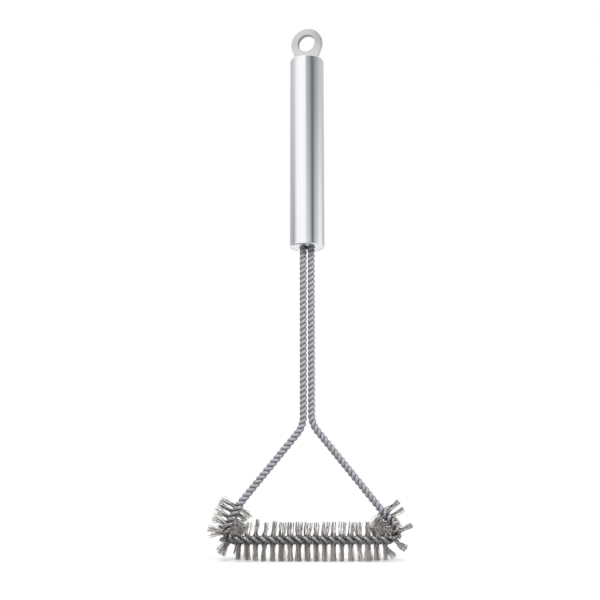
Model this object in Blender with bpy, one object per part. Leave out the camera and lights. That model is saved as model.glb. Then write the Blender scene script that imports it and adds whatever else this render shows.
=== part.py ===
"""Grill cleaning brush: a steel tube handle with a hanging ring, and a twisted wire frame bent into
a triangle whose base carries a row of bristle tufts.

Frame: metres, +Z up along the handle, the triangle lies in the plane y = 0, the front faces -Y,
the lowest bristle tips are at z = 0 and the whole brush is centred on x = y = 0. The dimensions
below are measured from the handle's axis, which stands a little to the left because the head
reaches further on the right.

Both wires run unbroken from inside the handle down one leg, round one corner, along the base,
round the other corner and up the other leg, twisted into a rope all the way. A tuft is trapped
where one wire lies exactly in front of the other, so every tuft lies in the triangle's plane.
"""

import math

import bmesh
import bpy
import numpy as np
from mathutils import Vector

MM = 0.001

HANDLE_X = -2.0 * MM  # the handle's axis

# ---- handle tube ----
TUBE_R = 25.4 * MM / 2
TUBE_BORE_R = TUBE_R - 1.2 * MM
TUBE_Z0 = 223.2 * MM
TUBE_LENGTH = 147.1 * MM
TUBE_TOP = TUBE_Z0 + TUBE_LENGTH
TUBE_RIM_R = 0.9 * MM  # outer edge rounding at both ends
TUBE_RIM_STEPS = 3

# ---- pressed end caps, seated inside the tube ends ----
CAP_R = TUBE_BORE_R - 0.25 * MM
CAP_T = 1.2 * MM
CAP_SKIRT = 7.0 * MM
CAP_EDGE = 0.3 * MM
CAP_RECESS = 0.1 * MM  # from the tube's end in to the cap's face
ROPE_HOLE_R = 5.7 * MM  # in the lower cap, for both ends of the rope

# ---- hanging tab: a ring plate with a neck, and a tongue that reaches into the handle ----
TAB_T = 3.8 * MM
TAB_YAW = math.radians(-18.0)  # about the handle's axis
TAB_RING_R = 12.1 * MM
TAB_RING_Z = 384.4 * MM
TAB_ARC_STEPS = 40
TAB_EDGE = 0.35 * MM
EYE_R = 6.65 * MM
EYE_RISE = 0.35 * MM  # the eye's centre above the ring's
NECK_W = 15.8 * MM
NECK_LIFT = 0.05 * MM  # the neck's lower edge above the tube's end
TONGUE_W = 13.6 * MM
TONGUE_T = 2.6 * MM
TONGUE_Z0 = 364.6 * MM
TONGUE_OVERLAP = 2.0 * MM  # its reach up into the plate
SLOT_GAP = 0.35 * MM  # round the tongue, in the upper cap

# ---- ferrule that holds both rope ends inside the handle ----
FERRULE_R = 9.5 * MM
FERRULE_H = 14.0 * MM
FERRULE_Z0 = 226.6 * MM
FERRULE_EDGE = 0.6 * MM
PASSAGE_W = 11.6 * MM  # along x
PASSAGE_D = 5.6 * MM  # along y
PASSAGE_END_STEPS = 12  # points on each rounded end

# ---- wires ----
WIRE_D = 1.95 * MM
LEG_OFFSET = 1.28 * MM  # wire axis to rope axis in the legs
BASE_OFFSET = 1.62 * MM  # the same where tufts hold the wires apart
SPREAD_MARGIN = 1.6  # half turns the wires stay apart beyond the outermost tufts
SPREAD_EASE = 4.0 * MM  # rope length over which they part
LEG_HALF_LAY = 3.78 * MM  # rope length per half turn
BASE_HALF_LAY = 5.96 * MM
LAY_RUNOUT = 28.0 * MM  # over which the lay tightens from the base's to the legs'
STEPS_PER_TURN = 6

# ---- rope axis in the plane y = 0, from the left leg to the right ----
LEG_X = 2.95 * MM
LEG_TOP = 246.0 * MM
BASE_Z = 14.4 * MM
# x and z of the unrounded corner, bend radius
BENDS = (
    (-LEG_X, 92.9 * MM, 18.0 * MM),  # below the handle, left
    (-46.5 * MM, 39.9 * MM, 30.0 * MM),  # slight bend in the left leg
    (-60.5 * MM, BASE_Z, 6.2 * MM),  # left corner of the base
    (67.9 * MM, BASE_Z, 6.2 * MM),  # right corner of the base
    (LEG_X, 94.6 * MM, 18.0 * MM),  # below the handle, right
)
BEND_STEP = 0.15 * MM  # longest step round a bend
MIN_BEND_STEPS = 8
AXIS_STEP = 0.05 * MM  # spacing of the finished axis points
# How near the base's height and heading a point counts as on its straight part.
STRAIGHT_Z_TOLERANCE = 0.02 * MM
STRAIGHT_MIN_COS = 0.999

# ---- bristle tufts: W lies in the triangle's plane, T across it, reaches are from the rope axis ----
TUFT_SIDES = 8
ROOT_REACH = 2.2 * MM
ROOT_HALF_W = 0.75 * MM
ROOT_HALF_T = 0.27 * MM
FLARE_REACH = 3.4 * MM
FLARE_HALF_W = 1.35 * MM
FLARE_HALF_T = 0.75 * MM
FLARE_CLEARANCE = 2.0 * MM  # an inner half no longer than this past the flare has no flare section
TIP_HALF_W = 1.7 * MM
TIP_HALF_T = 1.15 * MM
# Inner tip of a tuft that ends at the flare; it widens to the full tip's size at TUFT_UP.
SHORT_TIP_HALF_W = FLARE_HALF_W * 0.6
SHORT_TIP_HALF_T = FLARE_HALF_T * 0.7

FIRST_TUFT_X = -47.9 * MM
BASE_TUFTS = 18
TUFT_DOWN = BASE_Z
TUFT_UP = 12.3 * MM
# Upward reach of the base tufts next to the corners, where the corner tufts leave less room.
SHORT_UP = {0: 6.6 * MM, 1: 11.0 * MM, 16: 10.6 * MM, 17: 6.4 * MM}
# Crossing of the wires counted from the base's first tuft, outward reach, heading of the outer
# half in degrees from +X towards +Z, inward reach, half width of the outer tip.
CORNER_TUFTS = (
    (-6, 12.9 * MM, 155.0, 11.2 * MM, 1.15 * MM),
    (-5, 12.8 * MM, 152.0, 7.6 * MM, 1.15 * MM),
    (-4, 13.0 * MM, 149.0, 5.6 * MM, 1.2 * MM),
    (-3, 11.2 * MM, 148.0, 4.4 * MM, 1.2 * MM),
    (-2, 12.6 * MM, 168.0, 4.2 * MM, 2.4 * MM),
    (-1, 11.2 * MM, 238.0, 4.2 * MM, 2.4 * MM),
    (18, 11.8 * MM, -37.0, 4.2 * MM, 1.9 * MM),
    (19, 12.2 * MM, 26.0, 4.2 * MM, 1.55 * MM),
    (21, 12.7 * MM, 28.0, 5.6 * MM, 1.55 * MM),
    (22, 13.2 * MM, 40.0, 7.0 * MM, 1.45 * MM),
)

ROUND_STEPS = 48
MERGE = 1e-6
SMOOTH_ANGLE = math.radians(35)


# ---------------------------------------------------------------- helpers


def material(name, color, metallic, roughness):
    mat = bpy.data.materials.new(name)
    mat.diffuse_color = (*color, 1.0)
    mat.use_nodes = True
    shader = mat.node_tree.nodes["Principled BSDF"]
    shader.inputs["Base Color"].default_value = (*color, 1.0)
    shader.inputs["Metallic"].default_value = metallic
    shader.inputs["Roughness"].default_value = roughness
    return mat


def finish_mesh(bm, name):
    """A bmesh as a mesh: joints welded, faces pointing out, round parts shaded smooth."""
    bmesh.ops.remove_doubles(bm, verts=bm.verts, dist=MERGE)
    bmesh.ops.recalc_face_normals(bm, faces=bm.faces)
    mesh = bpy.data.meshes.new(name)
    bm.to_mesh(mesh)
    bm.free()
    mesh.shade_smooth()
    mesh.set_sharp_from_angle(angle=SMOOTH_ANGLE)
    return mesh


def place(name, data, mat, location=(0, 0, 0), rotation=(0, 0, 0), parent=None):
    ob = bpy.data.objects.new(name, data)
    if mat and not data.materials:
        data.materials.append(mat)
    ob.location = location
    ob.rotation_euler = rotation
    ob.parent = parent
    bpy.context.scene.collection.objects.link(ob)
    return ob


def spun(name, profile):
    """A closed profile of (radius, z) points spun round the z axis."""
    bm = bmesh.new()
    verts = [bm.verts.new((radius, 0.0, z)) for radius, z in profile]
    edges = [bm.edges.new(pair) for pair in zip(verts, verts[1:] + verts[:1])]
    bmesh.ops.spin(
        bm,
        geom=verts + edges,
        cent=(0, 0, 0),
        axis=(0, 0, 1),
        angle=2 * math.pi,
        steps=ROUND_STEPS,
        use_merge=True,
    )
    return finish_mesh(bm, name)


def prism(name, outline, y0, y1, edge=0.0):
    """An outline of (x, z) points extruded from y0 to y1, its rims bevelled by edge."""
    bm = bmesh.new()
    face = bm.faces.new([bm.verts.new((x, y0, z)) for x, z in outline])
    extruded = bmesh.ops.extrude_face_region(bm, geom=[face])
    far = [v for v in extruded["geom"] if isinstance(v, bmesh.types.BMVert)]
    bmesh.ops.translate(bm, verts=far, vec=(0, y1 - y0, 0))
    if edge:
        rims = [
            e
            for e in bm.edges
            if abs(e.verts[0].co.y - e.verts[1].co.y) < MERGE and len(e.link_faces) == 2
        ]
        bmesh.ops.bevel(bm, geom=rims, offset=edge, segments=1, profile=0.5, affect="EDGES")
    return finish_mesh(bm, name)


def plate(name, half_w, z0, z1, half_t):
    """A rectangular plate centred on x = y = 0."""
    outline = [(-half_w, z0), (half_w, z0), (half_w, z1), (-half_w, z1)]
    return prism(name, outline, -half_t, half_t)


def combine(part, mesh, operation="DIFFERENCE", rotation=None):
    """A Boolean modifier on the part. Its hidden helper stands at the part's origin, turned like
    the part unless a rotation is given."""
    if rotation is None:
        rotation = part.rotation_euler
    helper = place(mesh.name, mesh, None, part.location, rotation, part.parent)
    helper.hide_render = True
    helper.display_type = "WIRE"
    modifier = part.modifiers.new(helper.name, "BOOLEAN")
    modifier.operation = operation
    modifier.solver = "EXACT"
    modifier.object = helper


# ---------------------------------------------------------------- handle


def handle_tube(mat, parent):
    rim = TUBE_RIM_R
    angles = [math.pi / 2 * k / TUBE_RIM_STEPS for k in range(TUBE_RIM_STEPS + 1)]
    lower = [(TUBE_R - rim + rim * math.sin(a), rim - rim * math.cos(a)) for a in angles]
    upper = [(radius, TUBE_LENGTH - z) for radius, z in reversed(lower)]
    profile = [(TUBE_BORE_R, 0.0)] + lower + upper + [(TUBE_BORE_R, TUBE_LENGTH)]
    place("handle_tube", spun("handle_tube", profile), mat, (0, 0, TUBE_Z0), parent=parent)


def cap_mesh(name, hole_r):
    """A pressed cup, its outer face at z = 0 and its skirt towards -z. At hole_r = 0 the disc is
    whole."""
    inner_r = CAP_R - CAP_T
    profile = [
        (hole_r, 0.0),
        (CAP_R - CAP_EDGE, 0.0),
        (CAP_R, -CAP_EDGE),
        (CAP_R, -CAP_SKIRT),
        (inner_r, -CAP_SKIRT),
        (inner_r, -CAP_T),
        (hole_r, -CAP_T),
    ]
    return spun(name, profile)


def upper_cap(mat, parent):
    name = "upper_end_cap"
    spot = (0, 0, TUBE_TOP - CAP_RECESS)
    cap = place(name, cap_mesh(name, 0.0), mat, spot, (0, 0, TAB_YAW), parent)
    depth = 2 * CAP_T
    half_w = TONGUE_W / 2 + SLOT_GAP
    half_t = TONGUE_T / 2 + SLOT_GAP
    combine(cap, plate("tab_slot", half_w, -depth, depth, half_t))


def lower_cap(mat, parent):
    name = "lower_end_cap"
    spot = (0, 0, TUBE_Z0 + CAP_RECESS)
    place(name, cap_mesh(name, ROPE_HOLE_R), mat, spot, (math.pi, 0, 0), parent)


def hanging_tab(mat, parent):
    """A ring plate whose straight sides run from the ring to its neck, with a thinner tongue
    below."""
    neck_z = TUBE_TOP + NECK_LIFT - TAB_RING_Z
    half_neck = NECK_W / 2
    # angle on the ring where the line from the right end of the neck touches it
    touch = math.atan2(neck_z, half_neck)
    touch += math.acos(TAB_RING_R / math.hypot(half_neck, neck_z))
    sweep = math.pi - 2 * touch
    angles = [touch + sweep * k / TAB_ARC_STEPS for k in range(TAB_ARC_STEPS + 1)]
    outline = [(TAB_RING_R * math.cos(a), TAB_RING_R * math.sin(a)) for a in angles]
    outline += [(-half_neck, neck_z), (half_neck, neck_z)]
    mesh = prism("hanging_tab", outline, -TAB_T / 2, TAB_T / 2, TAB_EDGE)
    tab = place("hanging_tab", mesh, mat, (0, 0, TAB_RING_Z), (0, 0, TAB_YAW), parent)

    low = TONGUE_Z0 - TAB_RING_Z
    tongue = plate("tongue", TONGUE_W / 2, low, neck_z + TONGUE_OVERLAP, TONGUE_T / 2)
    combine(tab, tongue, "UNION")

    angles = [2 * math.pi * k / ROUND_STEPS for k in range(ROUND_STEPS)]
    circle = [(EYE_R * math.cos(a), EYE_RISE + EYE_R * math.sin(a)) for a in angles]
    combine(tab, prism("eye", circle, -TAB_T, TAB_T))


def ferrule(mat, parent):
    name = "rope_end_ferrule"
    profile = [
        (0, 0),
        (FERRULE_R - FERRULE_EDGE, 0),
        (FERRULE_R, FERRULE_EDGE),
        (FERRULE_R, FERRULE_H - FERRULE_EDGE),
        (FERRULE_R - FERRULE_EDGE, FERRULE_H),
        (0, FERRULE_H),
    ]
    part = place(name, spun(name, profile), mat, (0, 0, FERRULE_Z0), parent=parent)

    # an oblong passage: half circles joined by flats, extruded along y and turned upright
    end_r = PASSAGE_D / 2
    half_flat = (PASSAGE_W - PASSAGE_D) / 2
    oblong = []
    for k in range(2 * PASSAGE_END_STEPS):
        angle = math.pi * (k + 0.5) / PASSAGE_END_STEPS - math.pi / 2
        centre_x = half_flat if math.cos(angle) > 0 else -half_flat
        oblong.append((centre_x + end_r * math.cos(angle), end_r * math.sin(angle)))
    passage = prism("rope_passage", oblong, -1.5 * FERRULE_H, 0.5 * FERRULE_H)
    combine(part, passage, rotation=(-math.pi / 2, 0, 0))


# ---------------------------------------------------------------- rope


def bend_points(before, corner, after, radius):
    """Points of the arc that rounds a corner of the rope's axis."""
    back = (before - corner).normalized()
    ahead = (after - corner).normalized()
    half = back.angle(ahead) / 2
    centre = corner + (back + ahead).normalized() * (radius / math.sin(half))
    run = radius / math.tan(half)
    first = corner + back * run - centre
    last = corner + ahead * run - centre
    turn = math.atan2(first.x * last.y - first.y * last.x, first.dot(last))
    start = math.atan2(first.y, first.x)
    steps = max(MIN_BEND_STEPS, int(abs(turn) * radius / BEND_STEP))
    for k in range(steps + 1):
        angle = start + turn * k / steps
        yield centre + radius * Vector((math.cos(angle), math.sin(angle)))


def rope_axis():
    """Evenly spaced points of the rope's axis.
    Returns arc length, x, z and the unit tangent's x and z."""
    line = [Vector((-LEG_X, LEG_TOP))]
    line += [Vector((x, z)) for x, z, _ in BENDS]
    line.append(Vector((LEG_X, LEG_TOP)))
    points = [line[0]]
    for i, (_, _, radius) in enumerate(BENDS, 1):
        points += bend_points(line[i - 1], line[i], line[i + 1], radius)
    points.append(line[-1])

    xz = np.array([tuple(p) for p in points])
    lengths = np.linalg.norm(np.diff(xz, axis=0), axis=1)
    arc = np.concatenate([[0], np.cumsum(lengths)])
    even = np.linspace(0, arc[-1], int(arc[-1] / AXIS_STEP))
    x = np.interp(even, arc, xz[:, 0])
    z = np.interp(even, arc, xz[:, 1])
    dx = np.gradient(x, even)
    dz = np.gradient(z, even)
    norm = np.hypot(dx, dz)
    return even, x, z, dx / norm, dz / norm


class Rope:
    """The rope's axis with the wires' twist along it, each sampled at the arc lengths in arc.
    At phase pi/2 + k pi one wire is exactly in front of the other."""

    def __init__(self):
        self.arc, self.x, self.z, self.tangent_x, self.tangent_z = rope_axis()
        at_base = np.abs(self.z - BASE_Z) < STRAIGHT_Z_TOLERANCE
        straight = at_base & (self.tangent_x > STRAIGHT_MIN_COS)
        left, right = self.arc[straight][[0, -1]]
        away = np.maximum(left - self.arc, self.arc - right)
        base_share = np.clip(1 - away / LAY_RUNOUT, 0, 1)
        self.half_lay = LEG_HALF_LAY + (BASE_HALF_LAY - LEG_HALF_LAY) * base_share

        rate = np.pi / self.half_lay
        gains = (rate[1:] + rate[:-1]) / 2 * np.diff(self.arc)
        phase = np.concatenate([[0], np.cumsum(gains)])
        first = np.interp(FIRST_TUFT_X, self.x[straight], self.arc[straight])
        self.phase = phase + math.pi / 2 - np.interp(first, self.arc, phase)

        start = self.crossing(CORNER_TUFTS[0][0] - SPREAD_MARGIN)
        end = self.crossing(CORNER_TUFTS[-1][0] + SPREAD_MARGIN)
        spread = np.clip((self.arc - start) / SPREAD_EASE, 0, 1)
        spread = spread * np.clip((end - self.arc) / SPREAD_EASE, 0, 1)
        smooth = spread * spread * (3 - 2 * spread)
        self.offset = LEG_OFFSET + (BASE_OFFSET - LEG_OFFSET) * smooth

    def crossing(self, k):
        """Arc length of crossing k, counted from the base's first tuft."""
        return float(np.interp(math.pi / 2 + math.pi * k, self.phase, self.arc))

    def at(self, values, arc):
        return float(np.interp(arc, self.arc, values))

    def point(self, arc):
        return Vector((self.at(self.x, arc), 0.0, self.at(self.z, arc)))

    def side(self, arc):
        """Unit vector out of the triangle, in its plane."""
        return Vector((self.at(self.tangent_z, arc), 0.0, -self.at(self.tangent_x, arc)))

    def outward(self, arc):
        """Angle from +X towards +Z of the direction out of the triangle."""
        return math.atan2(-self.at(self.tangent_x, arc), self.at(self.tangent_z, arc))

    def wire_points(self, lead):
        """A wire's axis, one point every 360/STEPS_PER_TURN degrees of twist, laid right-handed.
        lead is the wire's angle ahead of the rope's phase."""
        step = 2 * math.pi / STEPS_PER_TURN
        first = math.ceil(self.phase[0] / step)
        last = math.floor(self.phase[-1] / step)
        points = []
        for k in range(first, last + 1):
            arc = float(np.interp(k * step, self.phase, self.arc))
            angle = k * step + lead
            across = math.cos(angle) * self.side(arc) + math.sin(angle) * Vector((0, 1, 0))
            points.append(self.point(arc) + self.at(self.offset, arc) * across)
        return points


def wire(name, points, mat, parent):
    """A round wire as a curve with a bevel and filled ends."""
    curve = bpy.data.curves.new(name, "CURVE")
    curve.dimensions = "3D"
    curve.bevel_depth = WIRE_D / 2
    curve.bevel_resolution = 1
    curve.use_fill_caps = True
    curve.resolution_u = 1
    curve.render_resolution_u = 0
    spline = curve.splines.new("POLY")
    spline.points.add(len(points) - 1)
    for spline_point, point in zip(spline.points, points):
        spline_point.co = (*point, 1.0)
    place(name, curve, mat, parent=parent)


# ---------------------------------------------------------------- tufts


def tuft_section(x, z, lean, half_w, half_t):
    """A section of a tuft, lean being the tuft's heading there. The half sizes are to its flats."""
    to_flat = math.cos(math.pi / TUFT_SIDES)
    points = []
    for k in range(TUFT_SIDES):
        angle = 2 * math.pi / TUFT_SIDES * (k + 0.5)
        w = half_w * math.cos(angle) / to_flat
        t = half_t * math.sin(angle) / to_flat
        points.append((x - w * math.sin(lean), t, z + w * math.cos(lean)))
    return points


def tuft_mesh(name, out_reach, out_turn, tip_half_w, in_reach, squeeze=1.0):
    """A double ended tuft through the origin, its outer half towards +x. Clear of the wires the
    outer half turns by out_turn, from +x towards +z. squeeze narrows the root where a tighter lay
    leaves it less room."""
    share = max(0.0, (in_reach - FLARE_REACH) / (TUFT_UP - FLARE_REACH))
    in_half_w = SHORT_TIP_HALF_W + (TIP_HALF_W - SHORT_TIP_HALF_W) * share
    in_half_t = SHORT_TIP_HALF_T + (TIP_HALF_T - SHORT_TIP_HALF_T) * share
    root_half_w = ROOT_HALF_W * squeeze
    flare_half_w = min(FLARE_HALF_W, tip_half_w)
    run = out_reach - FLARE_REACH
    tip_x = FLARE_REACH + run * math.cos(out_turn)
    tip_z = run * math.sin(out_turn)

    sections = [tuft_section(-in_reach, 0, 0, in_half_w, in_half_t)]
    if in_reach > FLARE_REACH + FLARE_CLEARANCE:
        sections.append(tuft_section(-FLARE_REACH, 0, 0, FLARE_HALF_W, FLARE_HALF_T))
    sections += [
        tuft_section(-ROOT_REACH, 0, 0, root_half_w, ROOT_HALF_T),
        tuft_section(ROOT_REACH, 0, 0, root_half_w, ROOT_HALF_T),
        tuft_section(FLARE_REACH, 0, out_turn / 2, flare_half_w, FLARE_HALF_T),
        tuft_section(tip_x, tip_z, out_turn, tip_half_w, TIP_HALF_T),
    ]

    bm = bmesh.new()
    rows = [[bm.verts.new(p) for p in section] for section in sections]
    for row, after in zip(rows, rows[1:]):
        for k in range(TUFT_SIDES):
            m = (k + 1) % TUFT_SIDES
            bm.faces.new((row[k], row[m], after[m], after[k]))
    bm.faces.new(rows[0])
    bm.faces.new(rows[-1])
    return finish_mesh(bm, name)


def base_tufts(rope, mat, parent):
    """The row along the base, outer halves down. Tufts of the same upward reach share a mesh."""
    shared = {}
    for k in range(BASE_TUFTS):
        up = SHORT_UP.get(k, TUFT_UP)
        if up not in shared:
            mesh_name = f"base_tuft_{len(shared)}"
            shared[up] = tuft_mesh(mesh_name, TUFT_DOWN, 0.0, TIP_HALF_W, up)
        name = f"bristle_tuft_base_{k + 1:02d}"
        spot = rope.point(rope.crossing(k))
        place(name, shared[up], mat, spot, (0, math.pi / 2, 0), parent)


def corner_tufts(rope, mat, parent):
    count = {"left": 0, "right": 0}
    for k, out_reach, heading, in_reach, tip_half_w in CORNER_TUFTS:
        side = "left" if k < 0 else "right"
        count[side] += 1
        name = f"bristle_tuft_{side}_{count[side]:02d}"
        arc = rope.crossing(k)
        outward = rope.outward(arc)
        # brought into -pi to pi
        turn = (math.radians(heading) - outward + math.pi) % (2 * math.pi) - math.pi
        squeeze = rope.at(rope.half_lay, arc) / BASE_HALF_LAY
        mesh = tuft_mesh(name, out_reach, turn, tip_half_w, in_reach, squeeze)
        # a turn by -outward about y takes +x to the outward direction
        place(name, mesh, mat, rope.point(arc), (0, -outward, 0), parent)


def main():
    for ob in list(bpy.data.objects):
        bpy.data.objects.remove(ob, do_unlink=True)

    brush = place("grill_cleaning_brush", None, None, (HANDLE_X, 0, 0))

    steel = material("tube_steel", color=(0.62, 0.62, 0.63), metallic=1.0, roughness=0.3)
    handle_tube(steel, brush)
    cap_look = dict(color=(0.72, 0.72, 0.73), metallic=1.0, roughness=0.4)
    upper_cap(material("upper_cap_steel", **cap_look), brush)
    lower_cap(material("lower_cap_steel", **cap_look), brush)
    tab_plate = material("tab_plate", color=(0.58, 0.58, 0.56), metallic=0.6, roughness=0.5)
    hanging_tab(tab_plate, brush)
    crimp = material("ferrule_metal", color=(0.5, 0.5, 0.5), metallic=1.0, roughness=0.45)
    ferrule(crimp, brush)

    rope = Rope()
    wire_look = dict(color=(0.45, 0.46, 0.48), metallic=1.0, roughness=0.35)
    for letter, lead in (("a", 0.0), ("b", math.pi)):
        strand = material(f"wire_{letter}", **wire_look)
        wire(f"wire_strand_{letter}", rope.wire_points(lead), strand, brush)
    bristles = material("bristles", color=(0.2, 0.18, 0.165), metallic=0.5, roughness=0.6)
    base_tufts(rope, bristles, brush)
    corner_tufts(rope, bristles, brush)


main()
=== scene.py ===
"""Looks of a grill cleaning brush, built around its CAD frame.

A steel tube handle stands upright along Z, with a hanging tab on top. Below it two twisted wires
run down into a triangle whose stem lies along X, with bristle tufts held between the wires.
Metres, +Z up, the front faces -Y, and the lowest bristles touch z = 0.
"""

import math
import random

import bmesh
import bpy
import numpy as np
from mathutils import Matrix, Vector


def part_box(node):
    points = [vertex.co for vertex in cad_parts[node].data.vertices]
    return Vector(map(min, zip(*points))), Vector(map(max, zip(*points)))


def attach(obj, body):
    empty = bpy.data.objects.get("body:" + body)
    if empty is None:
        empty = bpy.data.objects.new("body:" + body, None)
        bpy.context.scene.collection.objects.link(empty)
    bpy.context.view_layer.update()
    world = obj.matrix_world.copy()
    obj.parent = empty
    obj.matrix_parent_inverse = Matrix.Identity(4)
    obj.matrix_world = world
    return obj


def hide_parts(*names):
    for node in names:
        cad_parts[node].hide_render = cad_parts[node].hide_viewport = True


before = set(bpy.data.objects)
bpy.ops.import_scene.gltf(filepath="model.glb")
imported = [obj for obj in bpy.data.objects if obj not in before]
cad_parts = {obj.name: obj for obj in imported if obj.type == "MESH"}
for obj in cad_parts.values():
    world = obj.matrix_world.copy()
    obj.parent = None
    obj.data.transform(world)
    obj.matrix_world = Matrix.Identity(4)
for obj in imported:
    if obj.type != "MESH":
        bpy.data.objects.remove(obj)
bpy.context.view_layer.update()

MM = 0.001
scene = bpy.context.scene


# ---------------------------------------------------------------- driving dimensions

tube_lo, tube_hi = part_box("handle_tube")
AXIS_X = (tube_lo.x + tube_hi.x) / 2  # meshes are drawn round x = 0 and moved to this axis
TUBE_R = (tube_hi.x - tube_lo.x) / 2
TUBE_Z0, TUBE_Z1 = tube_lo.z, tube_hi.z
TUBE_INNER_R = TUBE_R - 1.2 * MM
LOWER_CAP_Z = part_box("lower_end_cap")[0].z
UPPER_CAP_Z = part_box("upper_end_cap")[1].z

CAP_R = TUBE_INNER_R - 0.12 * MM  # leaves a fine seam
CAP_T = 1.2 * MM
CAP_DEPTH = 7 * MM
CAP_EDGE_R = 0.35 * MM
ROPE_HOLE_R = 5.7 * MM

TAB_YAW = math.radians(-18.0)
TAB_T = 3.8 * MM
TAB_RING_R = 12.1 * MM
TAB_HOLE_R = 6.65 * MM
TAB_EYE_RISE = 0.35 * MM  # of the hole above the ring's centre
TAB_RING_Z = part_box("hanging_tab")[1].z - TAB_RING_R
TAB_NECK_W = 15.8 * MM

# the rope's path
LEG_X = 2.95 * MM
LEG_TOP = 246.0 * MM
STEM_Z = 14.4 * MM
ROPE_CORNERS = (  # x, z, bend radius
    (-LEG_X, 92.9 * MM, 18.0 * MM),
    (-46.5 * MM, 39.9 * MM, 30.0 * MM),
    (-60.5 * MM, STEM_Z, 6.2 * MM),
    (67.9 * MM, STEM_Z, 6.2 * MM),
    (LEG_X, 94.6 * MM, 18.0 * MM),
)
first_lo, first_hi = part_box("bristle_tuft_base_01")
FIRST_TUFT_X = (first_lo.x + first_hi.x) / 2 - AXIS_X

# the rope's lay: length of half a turn on the legs and the stem, and the run between the two
HALF_LAY_LEG = 3.78 * MM
HALF_LAY_STEM = 5.96 * MM
LAY_RUNOUT = 28.0 * MM

WIRE_R = 1.34 * MM
COIL_R = 1.32 * MM  # of a wire's centre round the rope's axis
COIL_R_TUFTS = 1.70 * MM  # the same where bristles spread the wires
TUFTED = (-7.6, 23.6)  # that stretch, in half turns from the first base tuft
COIL_EASE = 5.0 * MM

BRISTLE_R = 0.124 * MM
BRISTLE_POINTS = 27
FLARE = 3.4 * MM  # from the rope's axis to where a tuft takes its own heading
LAP_Y = 3.22 * MM  # how far in front of the rope's axis a lapping bristle passes


# ---------------------------------------------------------------- node helpers


class Nodes:
    """A small builder for a material's or the world's node tree."""

    def __init__(self, tree):
        self.tree = tree
        tree.nodes.clear()

    def new(self, kind, inputs=None, **settings):
        node = self.tree.nodes.new(kind)
        for key, value in settings.items():
            setattr(node, key, value)
        self.fill(node, inputs or {})
        return node

    def fill(self, node, inputs):
        """Link or set each input."""
        for key, value in inputs.items():
            socket = node.inputs[key]
            if isinstance(value, bpy.types.NodeSocket):
                self.tree.links.new(value, socket)
            else:
                socket.default_value = value

    def math(self, operation, *operands):
        inputs = dict(enumerate(operands))
        return self.new("ShaderNodeMath", inputs, operation=operation).outputs[0]

    def radius(self, x, y):
        squares = self.math("POWER", x, 2.0), self.math("POWER", y, 2.0)
        return self.math("SQRT", self.math("ADD", *squares))

    def mix(self, factor, first, second, blend="MIX"):
        inputs = {0: factor, 6: first, 7: second}
        return self.new("ShaderNodeMix", inputs, data_type="RGBA", blend_type=blend).outputs[2]

    def ramp(self, factor, stops, interpolation="LINEAR"):
        """stops are pairs of position and colour."""
        node = self.new("ShaderNodeValToRGB")
        elements = node.color_ramp.elements
        node.color_ramp.interpolation = interpolation
        while len(elements) > 1:
            elements.remove(elements[-1])
        for i, (position, colour) in enumerate(stops):
            element = elements[0] if i == 0 else elements.new(position)
            element.position = position
            element.color = colour
        self.fill(node, {0: factor})
        return node.outputs[0]

    def span(self, value, over, to=(0.0, 1.0)):
        """Map the range over onto the range to, held at its ends."""
        names = ("Value", "From Min", "From Max", "To Min", "To Max")
        return self.new("ShaderNodeMapRange", dict(zip(names, (value, *over, *to)))).outputs[0]

    def object_coords(self, scale=(1, 1, 1)):
        coords = self.new("ShaderNodeTexCoord").outputs["Object"]
        return self.new("ShaderNodeMapping", {"Scale": scale, "Vector": coords}).outputs[0]

    def noise(self, scale, detail):
        """Noise in object space, with its own scale along x, y and z."""
        inputs = {"Vector": self.object_coords(scale), "Scale": 1.0, "Detail": detail}
        return self.new("ShaderNodeTexNoise", inputs).outputs["Fac"]

    def split(self, vector):
        return self.new("ShaderNodeSeparateXYZ", {0: vector}).outputs

    def bump(self, height, strength, distance):
        inputs = {"Strength": strength, "Distance": distance, "Height": height}
        return self.new("ShaderNodeBump", inputs).outputs[0]


def grey(value):
    return (value, value, value, 1.0)


def linear(value):
    """An 8 bit screen value as linear light."""
    value /= 255.0
    return value / 12.92 if value <= 0.04045 else ((value + 0.055) / 1.055) ** 2.4


def rgb(red, green, blue):
    return (linear(red), linear(green), linear(blue), 1.0)


def new_material(name):
    material = bpy.data.materials.new(name)
    material.use_nodes = True
    nodes = Nodes(material.node_tree)
    out = nodes.new("ShaderNodeOutputMaterial")
    shader = nodes.new("ShaderNodeBsdfPrincipled")
    nodes.fill(out, {"Surface": shader.outputs[0]})
    return material, nodes, shader


# ---------------------------------------------------------------- materials


def tube_material():
    """Polished stainless tube: fine lengthwise drawing lines and faint smudges."""
    material, nodes, shader = new_material("polished_steel_tube")
    grain = nodes.noise(scale=(5200, 5200, 26), detail=3.0)
    fine = nodes.noise(scale=(1500, 1500, 9), detail=2.0)
    smudge = nodes.noise(scale=(60, 60, 30), detail=4.0)
    tint = nodes.span(fine, over=(0.35, 0.65))
    rough_grain = nodes.span(grain, over=(0.3, 0.7), to=(0.0, 0.05))
    rough_smudge = nodes.span(smudge, over=(0.3, 0.75), to=(0.10, 0.15))
    half_grain = nodes.math("MULTIPLY", grain, 0.5)
    height = nodes.math("ADD", half_grain, nodes.math("MULTIPLY", fine, 0.5))
    nodes.fill(shader, {
        "Base Color": nodes.mix(tint, rgb(243, 244, 246), rgb(249, 250, 251)),
        "Metallic": 1.0,
        "Roughness": nodes.math("ADD", rough_grain, rough_smudge),
        "Normal": nodes.bump(height, strength=0.10, distance=0.00002),
    })
    return material


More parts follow.
